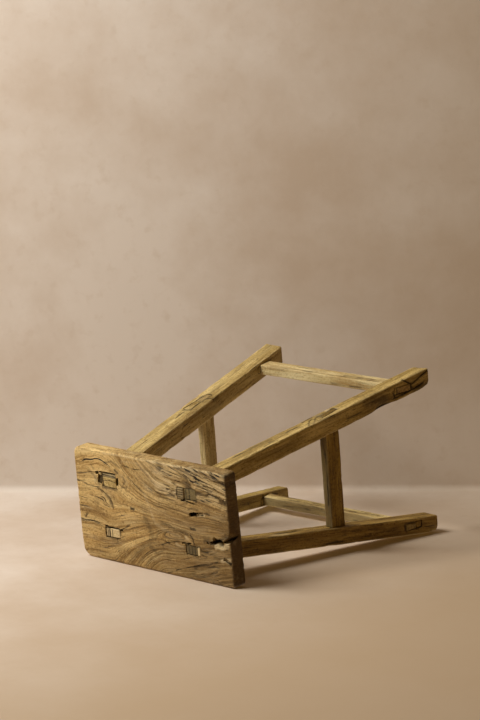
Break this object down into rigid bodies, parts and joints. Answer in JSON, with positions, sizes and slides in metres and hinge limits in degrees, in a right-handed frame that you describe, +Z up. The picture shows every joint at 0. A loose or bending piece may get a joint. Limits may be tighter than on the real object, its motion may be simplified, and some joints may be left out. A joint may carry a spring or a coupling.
{
  "type": "stool",
  "caption": "Low wooden stool: a thick plank seat on splayed legs joined by through tenons, wedges and stretchers.",
  "frame": {"origin": "on the floor under the middle of the seat", "axes": "+Z up, X along the seat's length, front is -Y"},
  "size_m": [0.3722, 0.2944, 0.5],
  "materials": {
    "seat_elm": "worn, open-grained, dry",
    "leg_elm": "worn smooth, waxed",
    "pale_stretcher": "weathered, pale, dry",
    "brown_stretcher": "darkened, worn",
    "wedge_wood": "end grain, dry"
  },
  "bodies": {
    "root": {"seat": "seat_elm", "leg_front_left": "leg_elm", "leg_front_right": "leg_elm", "leg_rear_left": "leg_elm", "leg_rear_right": "leg_elm", "long_stretcher_front": "pale_stretcher", "long_stretcher_rear": "pale_stretcher", "short_stretcher_left": "brown_stretcher", "short_stretcher_right": "brown_stretcher", "seat_wedge_front_left": "wedge_wood", "seat_wedge_front_right": "wedge_wood", "seat_wedge_rear_left": "wedge_wood", "seat_wedge_rear_right": "wedge_wood", "long_wedge_front_left": "wedge_wood", "long_wedge_front_right": "wedge_wood", "long_wedge_rear_left": "wedge_wood", "long_wedge_rear_right": "wedge_wood", "short_wedge_front_left": "wedge_wood", "short_wedge_front_right": "wedge_wood", "short_wedge_rear_left": "wedge_wood", "short_wedge_rear_right": "wedge_wood"}
  },
  "joints": []
}
